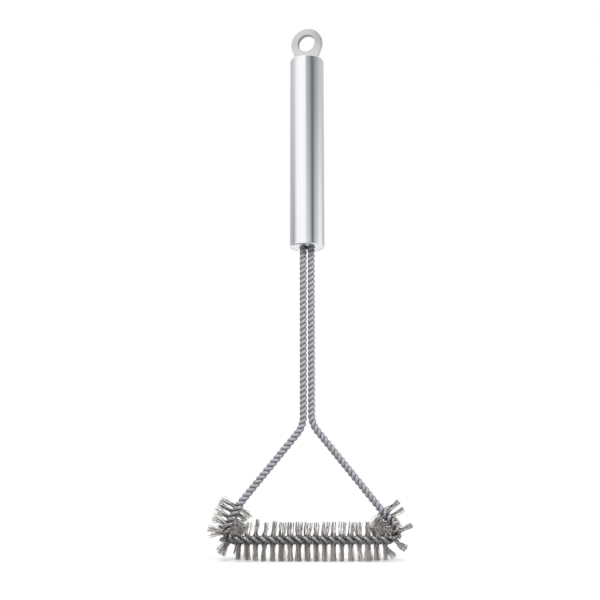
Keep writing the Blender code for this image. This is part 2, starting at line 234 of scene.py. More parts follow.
def cap_material(name, brightness, roughness):
    """Satin pressed steel with faint turning marks. brightness is an 8 bit screen value."""
    material, nodes, shader = new_material(name)
    x, y, _ = nodes.split(nodes.new("ShaderNodeTexCoord").outputs["Object"])
    ring_place = nodes.math("MULTIPLY", nodes.radius(x, y), 6000.0)
    ring_inputs = {"W": ring_place, "Scale": 1.0, "Detail": 3.0}
    rings = nodes.new("ShaderNodeTexNoise", ring_inputs, noise_dimensions="1D").outputs["Fac"]
    cloud = nodes.noise(scale=(300, 300, 300), detail=5.0)
    dark = rgb(brightness - 8, brightness - 7, brightness - 5)
    light = rgb(brightness + 4, brightness + 4, brightness + 5)
    rough_rings = nodes.span(rings, over=(0.3, 0.7), to=(0.0, 0.06))
    nodes.fill(shader, {
        "Base Color": nodes.mix(nodes.span(cloud, over=(0.35, 0.65)), dark, light),
        "Metallic": 1.0,
        "Roughness": nodes.math("ADD", rough_rings, roughness),
        "Normal": nodes.bump(rings, strength=0.12, distance=0.00003),
    })
    return material


def plate_material():
    """Matte, faintly warm plate with blasted grain, and painted light and shade: lighter by the tube,
    darker right and in the eye.
    """
    material, nodes, shader = new_material("matte_stamped_plate")
    grain = nodes.noise(scale=(2600, 2600, 2600), detail=4.0)
    cloud = nodes.noise(scale=(180, 180, 90), detail=4.0)
    x, y, z = nodes.split(nodes.object_coords())
    # masks for painted light low down by the tube and painted shade to the right
    low = nodes.span(z, over=(TAB_RING_Z + 2 * MM, TUBE_Z1 + 1 * MM))
    right = nodes.span(x, over=(AXIS_X + 1 * MM, AXIS_X + 11 * MM))

    # distance from the eye's centre, in the plate's own plane
    across = nodes.math("MULTIPLY", nodes.math("SUBTRACT", x, AXIS_X), math.cos(TAB_YAW))
    across = nodes.math("ADD", across, nodes.math("MULTIPLY", y, math.sin(TAB_YAW)))
    rise = nodes.math("SUBTRACT", z, TAB_RING_Z + TAB_EYE_RISE)
    squares = nodes.math("MULTIPLY", across, across), nodes.math("MULTIPLY", rise, rise)
    from_eye = nodes.math("SQRT", nodes.math("ADD", *squares))
    # painted shade on the eye's wall and rim
    eye_wall_shade = nodes.span(from_eye, over=(TAB_HOLE_R + 0.30 * MM, TAB_HOLE_R + 0.05 * MM))

    mottle = nodes.span(cloud, over=(0.3, 0.7))
    base = nodes.mix(mottle, rgb(206, 208, 206), rgb(215, 216, 213))
    # painted shade to the right, less of it low down, then painted light by the tube
    not_low = nodes.math("SUBTRACT", 1.0, nodes.math("MULTIPLY", low, 0.7))
    base = nodes.mix(nodes.math("MULTIPLY", right, not_low), base, rgb(178, 180, 180))
    base = nodes.mix(low, base, rgb(229, 230, 228))
    specks = nodes.span(grain, over=(0.35, 0.7), to=(0.0, 0.22))
    base = nodes.mix(specks, base, rgb(186, 187, 184))
    nodes.fill(shader, {
        "Base Color": nodes.mix(eye_wall_shade, base, rgb(158, 160, 162)),
        "Metallic": 0.55,
        "Roughness": nodes.span(grain, over=(0.3, 0.7), to=(0.42, 0.55)),
        "Normal": nodes.bump(grain, strength=0.22, distance=0.00005),
    })
    return material


def wire_material():
    """Lightly galvanised wire: semi-bright and patchy, with painted shade low down where it holds
    bristles.
    """
    material, nodes, shader = new_material("galvanised_wire")
    cloud = nodes.noise(scale=(900, 900, 900), detail=5.0)
    fine = nodes.noise(scale=(5200, 5200, 5200), detail=3.0)
    z = nodes.split(nodes.object_coords())[2]

    def downwards(unshaded, shaded):
        """A value that changes on the way down to the stem."""
        return nodes.span(z, over=(34 * MM, 19 * MM), to=(unshaded, shaded))

    mottle = nodes.span(cloud, over=(0.3, 0.7))
    base = nodes.mix(mottle, rgb(134, 136, 141), rgb(152, 154, 159))
    specks = nodes.span(fine, over=(0.55, 0.75), to=(0.0, 0.35))
    base = nodes.mix(specks, base, rgb(132, 134, 139))
    # painted shade, in patches, low down on the stem where the bristles crowd round the wires
    patches = nodes.span(cloud, over=(0.25, 0.6), to=(0.7, 1.0))
    stem_shade = nodes.math("MULTIPLY", downwards(0.0, 1.0), patches)
    shaded = nodes.mix(1.0, base, rgb(220, 217, 215), blend="MULTIPLY")
    rough_cloud = nodes.span(cloud, over=(0.3, 0.7), to=(0.0, 0.10))
    nodes.fill(shader, {
        "Base Color": nodes.mix(stem_shade, base, shaded),
        "Metallic": downwards(0.55, 0.7),
        "Roughness": nodes.math("ADD", rough_cloud, downwards(0.62, 0.44)),
        "Coat Weight": downwards(0.25, 1.0),
        "Coat Roughness": 0.14,
        "Normal": nodes.bump(fine, strength=0.15, distance=0.00004),
    })
    return material


def bristle_material():
    """Fine bristle wires: warm grey-brown, each a little lighter or darker than the next."""
    material, nodes, shader = new_material("bristle_wire")
    island = nodes.new("ShaderNodeNewGeometry").outputs["Random Per Island"]
    tone = nodes.new("ShaderNodeAttribute", attribute_name="tone").outputs["Fac"]
    own_share = nodes.math("MULTIPLY", tone, 0.6)
    shade = nodes.math("ADD", own_share, nodes.math("MULTIPLY", island, 0.4))
    spots = nodes.noise(scale=(1400, 1400, 1400), detail=3.0)
    base = nodes.ramp(
        shade,
        [
            (0.08, rgb(88, 83, 81)),
            (0.35, rgb(142, 137, 134)),
            (0.65, rgb(196, 192, 189)),
            (0.85, rgb(228, 225, 222)),
            (0.97, rgb(244, 242, 240)),
        ],
    )
    stain = nodes.span(spots, over=(0.45, 0.75), to=(0.0, 0.5))
    base = nodes.mix(stain, base, rgb(98, 93, 91))
    # painted shade where the bristles leave the wires, darkest at the roots
    reach = nodes.new("ShaderNodeAttribute", attribute_name="reach").outputs["Fac"]
    ragged = nodes.span(spots, over=(0.3, 0.7), to=(-0.06, 0.06))
    unshaded = nodes.span(nodes.math("ADD", reach, ragged), over=(0.16, 0.70))
    root_shaded = nodes.mix(1.0, base, rgb(134, 130, 129), blend="MULTIPLY")
    nodes.fill(shader, {
        "Base Color": nodes.mix(unshaded, root_shaded, base),
        "Metallic": 0.55,
        "Roughness": 0.42,
    })
    return material


# ---------------------------------------------------------------- mesh helpers


def mesh_object(mesh, material, *cad_nodes, slot):
    """An object named after its mesh, moved to the handle's axis."""
    mesh.transform(Matrix.Translation((AXIS_X, 0, 0)))
    mesh.materials.append(material)
    ob = bpy.data.objects.new(mesh.name, mesh)
    scene.collection.objects.link(ob)
    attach(ob, "root")
    if cad_nodes:
        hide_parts(*cad_nodes)
    return ob


def finished_mesh(name, bm, sharp):
    """The bmesh as a smooth mesh, with edges over sharp degrees kept sharp."""
    bmesh.ops.recalc_face_normals(bm, faces=bm.faces)
    mesh = bpy.data.meshes.new(name)
    bm.to_mesh(mesh)
    bm.free()
    mesh.shade_smooth()
    mesh.set_sharp_from_angle(angle=math.radians(sharp))
    return mesh


def lathe(name, profile, steps, sharp):
    """A closed profile of (radius, z) round the z axis."""
    bm = bmesh.new()
    verts = [bm.verts.new((radius, 0.0, z)) for radius, z in profile]
    edges = [bm.edges.new((verts[i], verts[(i + 1) % len(verts)])) for i in range(len(verts))]
    bmesh.ops.spin(
        bm, geom=verts + edges, cent=(0, 0, 0), axis=(0, 0, 1), angle=2 * math.pi,
        steps=steps, use_merge=True,
    )
    bmesh.ops.remove_doubles(bm, verts=bm.verts, dist=1e-7)
    return finished_mesh(name, bm, sharp)


def quarter_turn(steps):
    """(sine, cosine) of the angles from 0 to 90 degrees, both included."""
    angles = [math.pi / 2 * k / steps for k in range(steps + 1)]
    return [(math.sin(angle), math.cos(angle)) for angle in angles]


def rods_mesh(name, rods, sides):
    """Round rods, closed at both ends, as one mesh. Each is ((n, 3) points, radius or radii, tone).

    The point attribute "reach" is 0 half way along each rod and 1 at its ends, and "tone" is the
    rod's own.
    """
    vert_blocks, faces, reach, tones = [], [], [], []
    base = 0
    angles = np.arange(sides) * 2 * np.pi / sides
    cosines, sines = np.cos(angles)[None, :, None], np.sin(angles)[None, :, None]
    for points, radius, tone in rods:
        count = len(points)
        tangents = np.gradient(points, axis=0)
        tangents /= np.maximum(np.linalg.norm(tangents, axis=1), 1e-12)[:, None]
        across = np.cross(tangents[0], np.array([0.0, 1.0, 0.0]))
        if np.linalg.norm(across) < 1e-3:
            across = np.cross(tangents[0], np.array([1.0, 0.0, 0.0]))
        # carry the section along without twist
        firsts = [across / np.linalg.norm(across)]
        for tangent in tangents[1:]:
            carried = firsts[-1] - tangent * (firsts[-1] @ tangent)
            firsts.append(carried / np.linalg.norm(carried))
        firsts = np.array(firsts)
        seconds = np.cross(tangents, firsts)
        radii = np.broadcast_to(np.asarray(radius, float), (count,))
        spokes = cosines * firsts[:, None, :] + sines * seconds[:, None, :]
        rings = points[:, None, :] + radii[:, None, None] * spokes
        vert_blocks.append(rings.reshape(-1, 3))
        reach.append(np.repeat(np.abs(np.linspace(-1, 1, count)), sides))
        tones.append(np.full(count * sides, tone))
        row = np.arange(count - 1)[:, None] * sides
        here = np.arange(sides)[None, :]
        after = (here + 1) % sides
        corners = [row + here, row + after, row + sides + after, row + sides + here]
        faces += (np.stack(corners, -1).reshape(-1, 4) + base).tolist()
        faces.append([base + j for j in reversed(range(sides))])
        faces.append([base + (count - 1) * sides + j for j in range(sides)])
        base += count * sides
    mesh = bpy.data.meshes.new(name)
    mesh.from_pydata(np.concatenate(vert_blocks).tolist(), [], faces)
    mesh.update()
    for attribute, values in (("reach", reach), ("tone", tones)):
        data = mesh.attributes.new(attribute, "FLOAT", "POINT").data
        data.foreach_set("value", np.concatenate(values))
    mesh.shade_smooth()
    mesh.set_sharp_from_angle(angle=math.radians(62))
    return mesh


# ---------------------------------------------------------------- rope path


def rope_axis():
    """The rounded path down the left leg, along the stem and up the right leg.

    Returns even distances along it, x, z, and the tangent's x and z.
    """
    line = [Vector((-LEG_X, LEG_TOP))]
    line += [Vector((x, z)) for x, z, _ in ROPE_CORNERS]
    line.append(Vector((LEG_X, LEG_TOP)))
    points = [line[0]]
    for i, (_, _, radius) in enumerate(ROPE_CORNERS, 1):
        corner = line[i]
        back, ahead = (line[i - 1] - corner).normalized(), (line[i + 1] - corner).normalized()
        half = back.angle(ahead) / 2
        centre = corner + (back + ahead).normalized() * (radius / math.sin(half))
        run = radius / math.tan(half)
        enter, leave = corner + back * run - centre, corner + ahead * run - centre
        turn = math.atan2(enter.x * leave.y - enter.y * leave.x, enter.dot(leave))
        start = math.atan2(enter.y, enter.x)
        steps = max(8, int(abs(turn) * radius / (0.1 * MM)))
        for k in range(steps + 1):
            angle = start + turn * k / steps
            points.append(centre + radius * Vector((math.cos(angle), math.sin(angle))))
    points.append(line[-1])
    flat = np.array([tuple(point) for point in points])
    lengths = np.linalg.norm(np.diff(flat, axis=0), axis=1)
    along = np.concatenate([[0], np.cumsum(lengths)])
    even = np.linspace(0, along[-1], int(along[-1] / (0.05 * MM)))
    x, z = np.interp(even, along, flat[:, 0]), np.interp(even, along, flat[:, 1])
    slope_x, slope_z = np.gradient(x, even), np.gradient(z, even)
    norm = np.hypot(slope_x, slope_z)
    return even, x, z, slope_x / norm, slope_z / norm


class Rope:
    """Two wires wound round the axis. Crossings are counted in half turns from the first tuft."""

    def __init__(self):
        self.along, self.x, self.z, self.tan_x, self.tan_z = rope_axis()
        stem = (np.abs(self.z - STEM_Z) < 0.02 * MM) & (self.tan_x > 0.999)
        left, right = self.along[stem][0], self.along[stem][-1]
        away = np.maximum(left - self.along, self.along - right)
        stem_share = np.clip(1 - away / LAY_RUNOUT, 0, 1)
        self.half_lay = HALF_LAY_LEG + (HALF_LAY_STEM - HALF_LAY_LEG) * stem_share
        rate = np.pi / self.half_lay
        steps = (rate[1:] + rate[:-1]) / 2 * np.diff(self.along)
        phase = np.concatenate([[0], np.cumsum(steps)])
        first = np.interp(FIRST_TUFT_X, self.x[stem], self.along[stem])
        self.phase = phase + math.pi / 2 - np.interp(first, self.along, phase)
        start, end = (self.crossing(k) for k in TUFTED)
        fade_in = np.clip((self.along - start) / COIL_EASE, 0, 1)
        share = fade_in * np.clip((end - self.along) / COIL_EASE, 0, 1)
        self.coil_r = COIL_R + (COIL_R_TUFTS - COIL_R) * share * share * (3 - 2 * share)

    def crossing(self, k):
        return float(np.interp(math.pi / 2 + math.pi * k, self.phase, self.along))

    def station(self, k):
        """Point, tangent, direction out of the triangle and half lay at crossing k.

        k may lie between two crossings.
        """
        low = math.floor(k)
        start, end = self.crossing(low), self.crossing(low + 1)
        place = start + (end - start) * (k - low)
        x, z, tan_x, tan_z, lay = (
            np.interp(place, self.along, values)
            for values in (self.x, self.z, self.tan_x, self.tan_z, self.half_lay)
        )
        tangent = np.array([tan_x, 0.0, tan_z])
        tangent /= np.linalg.norm(tangent)
        outward = np.array([tangent[2], 0.0, -tangent[0]])
        return np.array([x, 0.0, z]), tangent, outward, float(lay)

    def wire(self, offset, per_turn=26):
        """Centre line of the wire whose phase is offset, in radians."""
        step = 2 * math.pi / per_turn
        first, last = math.ceil(self.phase[0] / step), math.floor(self.phase[-1] / step)
        phase = np.arange(first, last + 1) * step
        place = np.interp(phase, self.phase, self.along)
        x, z, tan_x, tan_z, coil_r = (
            np.interp(place, self.along, values)
            for values in (self.x, self.z, self.tan_x, self.tan_z, self.coil_r)
        )
        outward = np.stack([tan_z, 0 * place, -tan_x], 1)
        angle = (phase + offset)[:, None]
        coil = np.cos(angle) * outward + np.sin(angle) * Y
        return np.stack([x, 0 * place, z], 1) + coil_r[:, None] * coil


Y = np.array([0.0, 1.0, 0.0])
rope = Rope()


# ---------------------------------------------------------------- handle


def build_tube():
    edge_r = 1.1 * MM
    lip = 2 * MM

    def rim(z, up):
        """The rounded rim as (radius, z), from the outside in."""
        centre_r = TUBE_R - edge_r
        return [
            (centre_r + edge_r * cosine, z + up * (-edge_r + edge_r * sine))
            for sine, cosine in quarter_turn(8)
        ]

    straight = TUBE_Z1 - TUBE_Z0 - 2 * edge_r
    profile = rim(TUBE_Z0, -1)[::-1]
    profile += [(TUBE_R, TUBE_Z0 + edge_r + straight * k / 24) for k in range(1, 24)]
    profile += rim(TUBE_Z1, 1)
    profile += [(TUBE_INNER_R, z) for z in (TUBE_Z1, TUBE_Z1 - lip, TUBE_Z0 + lip, TUBE_Z0)]
    mesh = lathe("handle_tube_visual", profile, steps=224, sharp=50)
    mesh_object(mesh, tube_material(), "handle_tube", slot="brushed_steel")


def cap_side(z, into, fillet):
    """A cap's rounded edge, skirt and inner corner. into is the z sign into the tube."""
    side = [
        (CAP_R - CAP_EDGE_R + CAP_EDGE_R * sine, z + into * (CAP_EDGE_R - CAP_EDGE_R * cosine))
        for sine, cosine in quarter_turn(6)
    ]
    inner_r = CAP_R - CAP_T
    return side + [
        (CAP_R, z + into * CAP_DEPTH),
        (inner_r, z + into * CAP_DEPTH),
        (inner_r, z + into * (CAP_T + fillet)),
        (inner_r - fillet, z + into * CAP_T),
    ]


def build_lower_cap():
    """A pressed disc with a rolled hole edge for the rope."""
    z = LOWER_CAP_Z - 0.02 * MM
    roll_r = 0.45 * MM
    profile = [(CAP_R - CAP_EDGE_R, z)] + cap_side(z, into=1, fillet=0.8 * MM)
    profile.append((ROPE_HOLE_R, z + CAP_T + 0.5 * MM))
    profile += [
        (ROPE_HOLE_R + roll_r - roll_r * cosine, z + roll_r - roll_r * sine)
        for sine, cosine in quarter_turn(6)
    ]
    mesh = lathe("lower_cap_visual", profile, steps=160, sharp=40)
    material = cap_material("satin_cap_lower", brightness=238, roughness=0.28)
    mesh_object(mesh, material, "lower_end_cap", slot="pressed_steel")


def build_upper_cap():
    """A closed pressed disc."""
    z = UPPER_CAP_Z
    profile = [(0.0, z)] + cap_side(z, into=-1, fillet=0.6 * MM) + [(0.0, z - CAP_T)]
    mesh = lathe("upper_cap_visual", profile, steps=160, sharp=40)
    material = cap_material("satin_cap_upper", brightness=222, roughness=0.30)
    mesh_object(mesh, material, "upper_end_cap", slot="pressed_steel")


def tab_point(x, y, z):
    """A point in the tab's own plane turned to its yaw."""
    cosine, sine = math.cos(TAB_YAW), math.sin(TAB_YAW)
    return (x * cosine - y * sine, x * sine + y * cosine, z)


def inset(points, distance):
    """A closed outline moved to the left of its own direction."""
    moved = []
    for i in range(len(points)):
        before, here, after = (Vector(points[(i + j) % len(points)]) for j in (-1, 0, 1))
        edge_in, edge_out = (here - before).normalized(), (after - here).normalized()
        normal_in = Vector((-edge_in.y, edge_in.x))
        normal_out = Vector((-edge_out.y, edge_out.x))
        normal = (normal_in + normal_out).normalized()
        moved.append(tuple(here + normal * (distance / max(0.35, normal.dot(normal_in)))))
    return moved


def edge_rows(points, radius, inward):
    """Outlines and their y from the front face to the back, rounded by radius.

    inward is 1 to round towards the outline's left, -1 towards its right.
    """
    rows = [
        (inset(points, inward * radius * (1 - sine)), -TAB_T / 2 + radius * (1 - cosine))
        for sine, cosine in quarter_turn(5)
    ]
    return rows + [(outline, -y) for outline, y in reversed(rows)]


def add_edge(bm, rows):
    """Skin the rows and return the front and back loops of vertices."""
    loops = [
        [bm.verts.new(tab_point(x, y, z + TAB_RING_Z)) for x, z in outline]
        for outline, y in rows
    ]
    for front, back in zip(loops, loops[1:]):
        for i in range(len(front)):
            j = (i + 1) % len(front)
            bm.faces.new((front[i], front[j], back[j], back[i]))
    return loops[0], loops[-1]


def build_tab():
    """The plate with softly rounded rims and an eye: a ring on a straight neck."""
    steps = 96  # round the ring, and round the eye
    neck_z = TUBE_Z1 + 0.02 * MM - TAB_RING_Z
    half_neck = TAB_NECK_W / 2
    # the neck's sides run from its foot to touch the ring
    touch = math.atan2(neck_z, half_neck) + math.acos(TAB_RING_R / math.hypot(half_neck, neck_z))
    sweep = math.pi - 2 * touch
    angles = [touch + sweep * k / steps for k in range(steps + 1)]
    outline = [(TAB_RING_R * math.cos(angle), TAB_RING_R * math.sin(angle)) for angle in angles]
    outline += [(-half_neck, neck_z), (half_neck, neck_z)]
    angles = [2 * math.pi * k / steps for k in range(steps)]
    eye = [
        (TAB_HOLE_R * math.cos(angle), TAB_EYE_RISE + TAB_HOLE_R * math.sin(angle))
        for angle in angles
    ]

    bm = bmesh.new()
    outer_loops = add_edge(bm, edge_rows(outline, radius=0.55 * MM, inward=1))
    eye_loops = add_edge(bm, edge_rows(eye, radius=0.4 * MM, inward=-1))
    for face_loops in zip(outer_loops, eye_loops):
        edges = [
            bm.edges.get((loop[i], loop[(i + 1) % len(loop)]))
            for loop in face_loops
            for i in range(len(loop))
        ]
        bmesh.ops.triangle_fill(bm, use_beauty=True, use_dissolve=False, edges=edges)
    mesh = finished_mesh("hanging_tab_visual", bm, sharp=30)
    mesh_object(mesh, plate_material(), "hanging_tab", slot="matte_plate")


def build_weld_bead():
    """The bead round the tab's root, where the plate meets the cap."""
    half_w, half_t = TAB_NECK_W / 2 - 0.3 * MM, TAB_T / 2
    end_bulge = 0.2 * MM
    path = []
    for side in (-1, 1):  # the front run and right end, then the back run and left end
        for k in range(26):
            path.append((side * (half_w - 2 * half_w * k / 25), side * half_t))
        for k in range(7):
            angle = side * math.pi / 2 + math.pi * k / 6
            x = -side * half_w + end_bulge * math.cos(angle)
            path.append((x, half_t * math.sin(angle)))
    points = np.array([tab_point(x, y, UPPER_CAP_Z + 0.05 * MM) for x, y in path])
    gaps = np.linalg.norm(np.diff(points, axis=0), axis=1)
    points = points[np.concatenate([[True], gaps > 1e-6])]
    radii = 0.24 * MM + 0.05 * MM * np.sin(np.arange(len(points)) * 2.1)
    mesh = rods_mesh("tab_weld_bead", [(points, radii, 0.5)], sides=10)
    material = cap_material("weld_bead", brightness=205, roughness=0.38)
    mesh_object(mesh, material, slot="pressed_steel")


def dress_ferrule():
    """The ferrule keeps its CAD mesh and gets its own metal."""
    material = cap_material("ferrule_metal_looks", brightness=190, roughness=0.42)
    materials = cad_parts["rope_end_ferrule"].data.materials
    materials.clear()
    materials.append(material)


def build_wires():
    material = wire_material()
    made = []
    for letter, offset in (("a", 0.0), ("b", math.pi)):
        mesh = rods_mesh(f"wire_{letter}_visual", [(rope.wire(offset), WIRE_R, 0.5)], sides=16)
        made.append(mesh_object(mesh, material, f"wire_strand_{letter}", slot="twisted_wire"))
    return made


# ---------------------------------------------------------------- bristles

# Every bristle runs through the rope, with one end out of the triangle and one into it. The dict
# for the ends on one side holds:
#   aim      heading in degrees, 0 to the right and 90 up
#   length   from the rope's axis
#   width    half the tuft's width at its tips, and thick the same front to back
#   spread   degrees either way that single bristles turn from the aim
#   split    degrees either way that the tuft parts in two
#   fray     share of bristles that stray, by up to wild and shortened by up to the share short
#   ragged   largest share that any bristle is shortened by
#   bunches  how many bunches the tips are drawn into
#   curl     largest sideways bow


def smooth_curve(points, count):
    """count points along a Catmull-Rom curve through points."""
    known = np.asarray(points, float)
    known = np.vstack([2 * known[0] - known[1], known, 2 * known[-1] - known[-2]])
    spans = len(known) - 3
    curve = []
    for place in np.linspace(0, spans, count):
        i = min(int(place), spans - 1)
        part = place - i
        before, start, end, after = known[i : i + 4]
        curve.append(
            0.5
            * (
                2 * start
                + (end - before) * part
                + (2 * before - 5 * start + 4 * end - after) * part * part
                + (3 * start - before - 3 * end + after) * part**3
            )
        )
    return np.array(curve)


def heading(degrees):
    angle = math.radians(degrees)
    return np.array([math.cos(angle), 0.0, math.sin(angle)])


def half_bristle(rnd, station, offset, sign, spec, direction, length, stray, curl, lap, clump):
    """One end of a bristle from the rope outwards, as a few points.

    offset is its place along the rope at the root, sign is 1 out of the triangle and -1 into it.
    It leaves through the gap between the wires, which faces another way at each offset, laps round
    the wire beside it and then joins the tuft. clump is its bunch's place across the tuft, or None.
    """
    point, tangent, outward, lay = station
    width, thick = spec["width"], spec["thick"]
    phase = math.pi * offset / lay
    side = np.array([direction[2], 0.0, -direction[0]])
    if side @ tangent < 0:
        side = -side
    place = max(-1.0, min(1.0, offset / (0.45 * lay)))
    jitter = rnd.uniform(-1, 1)
    if clump is None:
        tip_side = width * (0.6 * place + 0.5 * jitter)
        flare_w = width * 0.62
    else:
        # drawn together with its neighbours, which leaves slits between the bunches
        tip_side = width * clump + 0.26 * MM * jitter
        place = 0.8 * clump + 0.2 * place
        flare_w = width * 0.92
    tip_y = thick * (0.5 * math.sin(phase) * sign + 0.6 * rnd.uniform(-1, 1))
    if stray:
        tip_side += rnd.uniform(-1, 1) * stray
        tip_y += rnd.uniform(-1, 1) * stray * 0.5

    def round_rope(radius, phase_share, offset_share):
        angle = phase * phase_share
        spoke = math.cos(angle) * outward + math.sin(angle) * Y
        return point + tangent * (offset * offset_share) + sign * radius * spoke

    neck = point + sign * outward * FLARE
    run = length - FLARE
    tip = neck + direction * run + side * tip_side + Y * tip_y
    points = [
        round_rope(1.35 * MM, 1.0, 1.0),
        round_rope(2.35 * MM, 0.82, 0.92),
        round_rope(3.15 * MM, 0.45, 0.76),
    ]
    if lap and sign * math.sin(phase) < -0.35:
        # over the wire in front instead of beside it
        for i, offset_share, rise in ((1, 0.55, 0.5 * MM), (2, -0.15, 2.2 * MM)):
            along = tangent * (offset * offset_share)
            points[i] = point + along + outward * (sign * rise) - Y * LAP_Y
    if run > 1.5 * MM:
        start_y = points[-1][1]
        wide = max(flare_w, 0.9 * MM) * place
        for part in (0.30, 0.66):
            bend = curl * math.sin(math.pi * part)
            sideways = wide * (1 - part) + tip_side * part + bend
            middle = neck + direction * run * part + side * sideways
            y = start_y * (1 - part) ** 1.5 + tip_y * part
            points.append(middle + Y * (y - middle[1]))
    points.append(tip)
    return points


def tuft_rods(seed, at, out, inner, count, root=0.5, laps=0.03):
    """Bristles of one tuft at crossing at, as rods.

    root is half its length along the rope in half lays, laps the share that lap over a wire.
    """
    tone_run = 7  # neighbours that share a tone
    rnd = random.Random(seed)
    station = rope.station(at)
    _, tangent, _, lay = station
    sides = []
    for sign, spec in ((-1, inner), (1, out)):
        many = spec.get("bunches", 0)
        clumps = [2 * (j + rnd.uniform(0.25, 0.75)) / many - 1 for j in range(many)]
        sides.append((sign, spec, clumps))
    rods = []
    for i in range(count):
        share = 2 * (i + rnd.random()) / count - 1
        offset = share * root * lay
        ends = []
        for sign, spec, clumps in sides:
            loose = rnd.random() < spec["fray"]
            length = spec["length"] - rnd.uniform(0.0, 0.35) * MM
            if loose:
                length *= 1 - rnd.uniform(0.0, spec["short"])
            length *= 1 - spec.get("ragged", 0.0) * rnd.random()
            lean = spec.get("split", 0.0) * (1 if rnd.random() > 0.5 else -1)
            aim = spec["aim"] + spec.get("spread", 0.0) * rnd.uniform(-1, 1) + lean
            most_curl = spec.get("curl", 0.15 * MM) + (0.35 * MM if loose else 0.0)
            curl = rnd.uniform(-1, 1) * most_curl
            clump = None
            if clumps:
                clump = clumps[min(len(clumps) - 1, int(len(clumps) * (share + 1) / 2))]
            ends.append(
                half_bristle(
                    rnd, station, offset, sign, spec, heading(aim), length,
                    stray=spec["wild"] if loose else 0.0, curl=curl,
                    lap=rnd.random() < laps, clump=clump,
                )
            )
        middle = station[0] + tangent * offset + Y * rnd.uniform(-0.2, 0.2) * MM
        points = smooth_curve(ends[0][::-1] + [middle] + ends[1], BRISTLE_POINTS)
        # a slight crimp
        crimp = rnd.uniform(0.01, 0.06) * MM
        phase = rnd.uniform(0, 6.28)
        steps = np.arange(BRISTLE_POINTS)
        points += (np.sin(steps * 2.1 + phase) * crimp)[:, None] * tangent[None, :]
        points[:, 1] += crimp * np.cos(steps * 1.8 + phase)
        points[:, 2] = np.maximum(points[:, 2], 0.12 * MM)  # stay above the floor
        if i % tone_run == 0:
            tone = rnd.random()
        rods.append((points, BRISTLE_R * rnd.uniform(0.85, 1.1), tone))
    return rods


def tuft_object(name, tufts, material):
    """One object of several tufts, each given as the arguments of tuft_rods."""
    rods = [rod for tuft in tufts for rod in tuft_rods(**tuft)]
    mesh = rods_mesh("bristles_" + name, rods, sides=4)
    return mesh_object(mesh, material, "bristle_tuft_" + name, slot="bristle_wire")


# Base tufts, left to right, in mm: upper lean and half width, lower lean and half width, extra
# upward reach.
BASE = (
    (0.0, 2.2, -0.3, 1.5, 0.0),
    (1.9, 1.5, 0.4, 2.3, 0.2),
    (1.4, 0.8, 0.0, 1.7, 2.2),
    (2.2, 1.2, -0.8, 1.5, 0.0),
    (1.9, 1.3, 0.0, 2.0, 0.9),
    (0.8, 2.0, 0.0, 2.4, 0.2),
    (0.6, 2.0, 0.2, 1.8, 0.3),
    (0.9, 2.1, -0.4, 1.8, 0.3),
    (1.8, 2.3, 0.8, 2.0, 0.0),
    (0.7, 1.4, 0.4, 2.0, -0.2),
    (1.8, 2.5, 0.0, 1.9, 0.3),
    (0.5, 1.2, 0.0, 2.1, 0.3),
    (1.0, 2.3, -0.7, 1.7, 0.3),
    (1.6, 1.6, 0.7, 1.9, 0.3),
    (-0.4, 1.7, 1.1, 1.7, 0.2),
    (0.0, 1.3, 0.0, 2.3, 0.4),
    (0.3, 2.1, 0.7, 2.1, 0.3),
    (0.3, 2.2, 0.3, 1.5, 0.0),
)
SHORT_DOWN = {0: 1.2, 1: 0.8, 2: 0.5, 16: 0.5, 17: 0.9}  # mm that a tuft's lower end is shorter
SPLIT_DOWN = {15: 5.0, 7: 2.0, 9: 2.0}  # degrees that a tuft's lower end is split
FRAYED_UP = (0, 16, 17)  # tufts whose upper end is frayed

# Corner tufts: name, crossing, outer aim, length (mm), half width (mm), spread and fray, inner
# aim, length (mm), spread and curl (mm), count.
CORNERS = (
    ("left_01", -6, 154, 13.8, 1.5, 9, 0.60, -36, 12.4, 4, 0.2, 38),
    ("left_02", -5, 150, 13.6, 1.5, 11, 0.60, -32, 10.6, 7, 0.4, 40),
    ("left_03", -4, 149, 13.8, 1.6, 13, 0.65, -30, 11.0, 14, 0.9, 46),
    ("left_04", -3, 152, 12.6, 1.6, 17, 0.65, -16, 13.5, 20, 1.0, 46),
    ("left_05", -2, 172, 13.6, 2.2, 22, 0.65, 2, 14.5, 26, 1.2, 66),
    ("left_06", -1, 236, 13.0, 2.2, 24, 0.60, 58, 12.6, 24, 1.2, 66),
    ("right_01", 18, -37, 12.2, 2.1, 9, 0.30, 128, 14.0, 28, 1.4, 78),
    ("right_02", 19, 26, 12.4, 1.55, 1.5, 0.10, 176, 15.5, 28, 1.4, 84),
    ("right_03", 21, 29, 12.8, 1.6, 1.5, 0.12, 212, 12.0, 28, 1.4, 84),
    ("right_04", 22, 40, 13.2, 1.6, 2.0, 0.12, 232, 12.5, 24, 1.2, 84),
)

# Small tufts on the crowded turn beyond right_02: seed, crossing, outer aim, inner aim.
RIGHT_TURN = ((391, 20.0, 40, 200), (394, 20.5, 38, 208), (395, 19.5, 38, 186), (396, 18.5, -20, 160))


